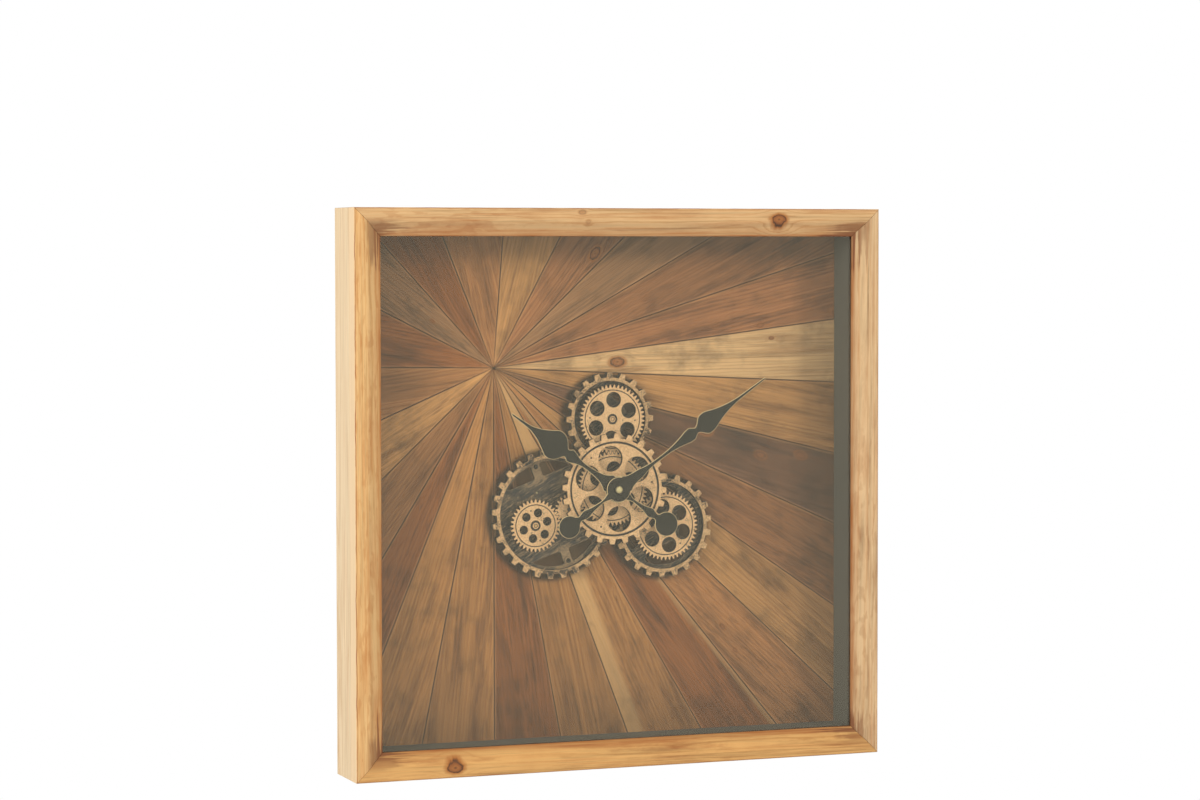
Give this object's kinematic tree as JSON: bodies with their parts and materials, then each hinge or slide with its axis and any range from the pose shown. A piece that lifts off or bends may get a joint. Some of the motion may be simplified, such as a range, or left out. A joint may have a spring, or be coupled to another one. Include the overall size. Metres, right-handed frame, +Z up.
{
  "type": "square wall clock",
  "caption": "Deep square wooden wall clock with a slatted sunburst panel, an open turning gear train and two spade hands behind glass.",
  "frame": {"origin": "the point on the wall where the hook bears at the top of the hanger's keyhole slot, in the plane of the frame's back edges", "axes": "+Z up, +X to the right seen from the front, +Y into the wall; the glass faces -Y"},
  "size_m": [0.6, 0.072, 0.6],
  "materials": {
    "fir": "clear lacquered fir with knots",
    "honey_wood": "reclaimed wood, pale honey",
    "tan_wood": "reclaimed wood, tan",
    "rust_wood": "reclaimed wood, reddish brown",
    "walnut_wood": "reclaimed wood, dark reddish",
    "umber_wood": "reclaimed wood, grey brown",
    "ash_wood": "reclaimed wood, weathered grey",
    "plywood": "raw plywood",
    "black_board": "matt black paint",
    "clear_glass": "clear float glass",
    "dark_bronze": "moulded, painted dark bronze with gold rubbed edges",
    "gold_bronze": "moulded, painted antique gold bronze",
    "brass": "plain brass",
    "black_aluminium": "painted matt black, edges left bright",
    "steel": "zinc plated",
    "black_plastic": "moulded black",
    "battery_jacket": "plain dark blue jacket"
  },
  "bodies": {
    "root": {"side_board_bottom": "fir", "side_board_left": "fir", "side_board_top": "fir", "side_board_right": "fir", "moulding_bottom": "fir", "moulding_left": "fir", "moulding_top": "fir", "moulding_right": "fir", "glass_pane": "clear_glass", "glass_spacer_frame": "black_board", "backing_board": "plywood", "sunburst_slat_01": "honey_wood", "sunburst_slat_02": "walnut_wood", "sunburst_slat_03": "ash_wood", "sunburst_slat_04": "walnut_wood", "sunburst_slat_05": "rust_wood", "sunburst_slat_06": "honey_wood", "sunburst_slat_07": "tan_wood", "sunburst_slat_08": "umber_wood", "sunburst_slat_09": "rust_wood", "sunburst_slat_10": "tan_wood", "sunburst_slat_11": "tan_wood", "sunburst_slat_12": "walnut_wood", "sunburst_slat_13": "honey_wood", "sunburst_slat_14": "umber_wood", "sunburst_slat_15": "tan_wood", "sunburst_slat_16": "rust_wood", "sunburst_slat_17": "tan_wood", "sunburst_slat_18": "umber_wood", "sunburst_slat_19": "walnut_wood", "sunburst_slat_20": "honey_wood", "sunburst_slat_21": "tan_wood", "sunburst_slat_22": "umber_wood", "sunburst_slat_23": "ash_wood", "sunburst_slat_24": "walnut_wood", "sunburst_slat_25": "tan_wood", "gear_base": "dark_bronze", "face_gear": "gold_bronze", "top_pin": "brass", "right_pin": "brass", "left_pin": "brass", "clamp_nut": "brass", "hanger_plate": "steel", "movement_case": "black_plastic", "gear_drive_case": "black_plastic", "movement_battery": "battery_jacket", "gear_drive_battery": "battery_jacket"},
    "drive_pinion": {"drive_pinion": "gold_bronze", "drive_shaft": "steel"},
    "centre_wheel": {"centre_wheel": "gold_bronze"},
    "top_wheel": {"top_wheel": "gold_bronze"},
    "right_wheel": {"right_wheel": "gold_bronze"},
    "left_wheel": {"left_wheel": "gold_bronze"},
    "minute_hand": {"minute_hand": "black_aluminium", "minute_arbor": "steel", "hand_cap": "brass"},
    "hour_hand": {"hour_hand": "black_aluminium", "hour_tube": "brass"},
    "setting_knob": {"setting_knob": "black_plastic"}
  },
  "joints": [
    {"name": "drive_pinion_spin", "type": "hinge", "parent": "root", "child": "drive_pinion", "pos_m": [-0.04967, 0, -0.29119], "axis": [0, 1, 0], "continuous": true},
    {"name": "centre_wheel_spin", "type": "hinge", "parent": "root", "child": "centre_wheel", "pos_m": [0, 0, -0.27], "axis": [0, 1, 0], "continuous": true},
    {"name": "top_wheel_spin", "type": "hinge", "parent": "root", "child": "top_wheel", "pos_m": [0, 0, -0.195], "axis": [0, 1, 0], "continuous": true},
    {"name": "right_wheel_spin", "type": "hinge", "parent": "root", "child": "right_wheel", "pos_m": [0.06196, 0, -0.31226], "axis": [0, 1, 0], "continuous": true},
    {"name": "left_wheel_spin", "type": "hinge", "parent": "root", "child": "left_wheel", "pos_m": [-0.0883, 0, -0.30766], "axis": [0, 1, 0], "continuous": true},
    {"name": "minute_hand_spin", "type": "hinge", "parent": "root", "child": "minute_hand", "pos_m": [0, 0, -0.27], "axis": [0, 1, 0], "continuous": true},
    {"name": "hour_hand_spin", "type": "hinge", "parent": "root", "child": "hour_hand", "pos_m": [0, 0, -0.27], "axis": [0, 1, 0], "continuous": true},
    {"name": "setting_knob_spin", "type": "hinge", "parent": "root", "child": "setting_knob", "pos_m": [0.013, 0, -0.283], "axis": [0, 1, 0], "continuous": true}
  ],
  "couplings": [
    {"joint": "centre_wheel_spin", "follows": "drive_pinion_spin", "ratio": -0.38462},
    {"joint": "top_wheel_spin", "follows": "drive_pinion_spin", "ratio": 0.41667},
    {"joint": "right_wheel_spin", "follows": "drive_pinion_spin", "ratio": 0.41667},
    {"joint": "left_wheel_spin", "follows": "drive_pinion_spin", "ratio": -0.55556},
    {"joint": "hour_hand_spin", "follows": "minute_hand_spin", "ratio": 0.083333},
    {"joint": "setting_knob_spin", "follows": "minute_hand_spin", "ratio": -0.33333}
  ]
}
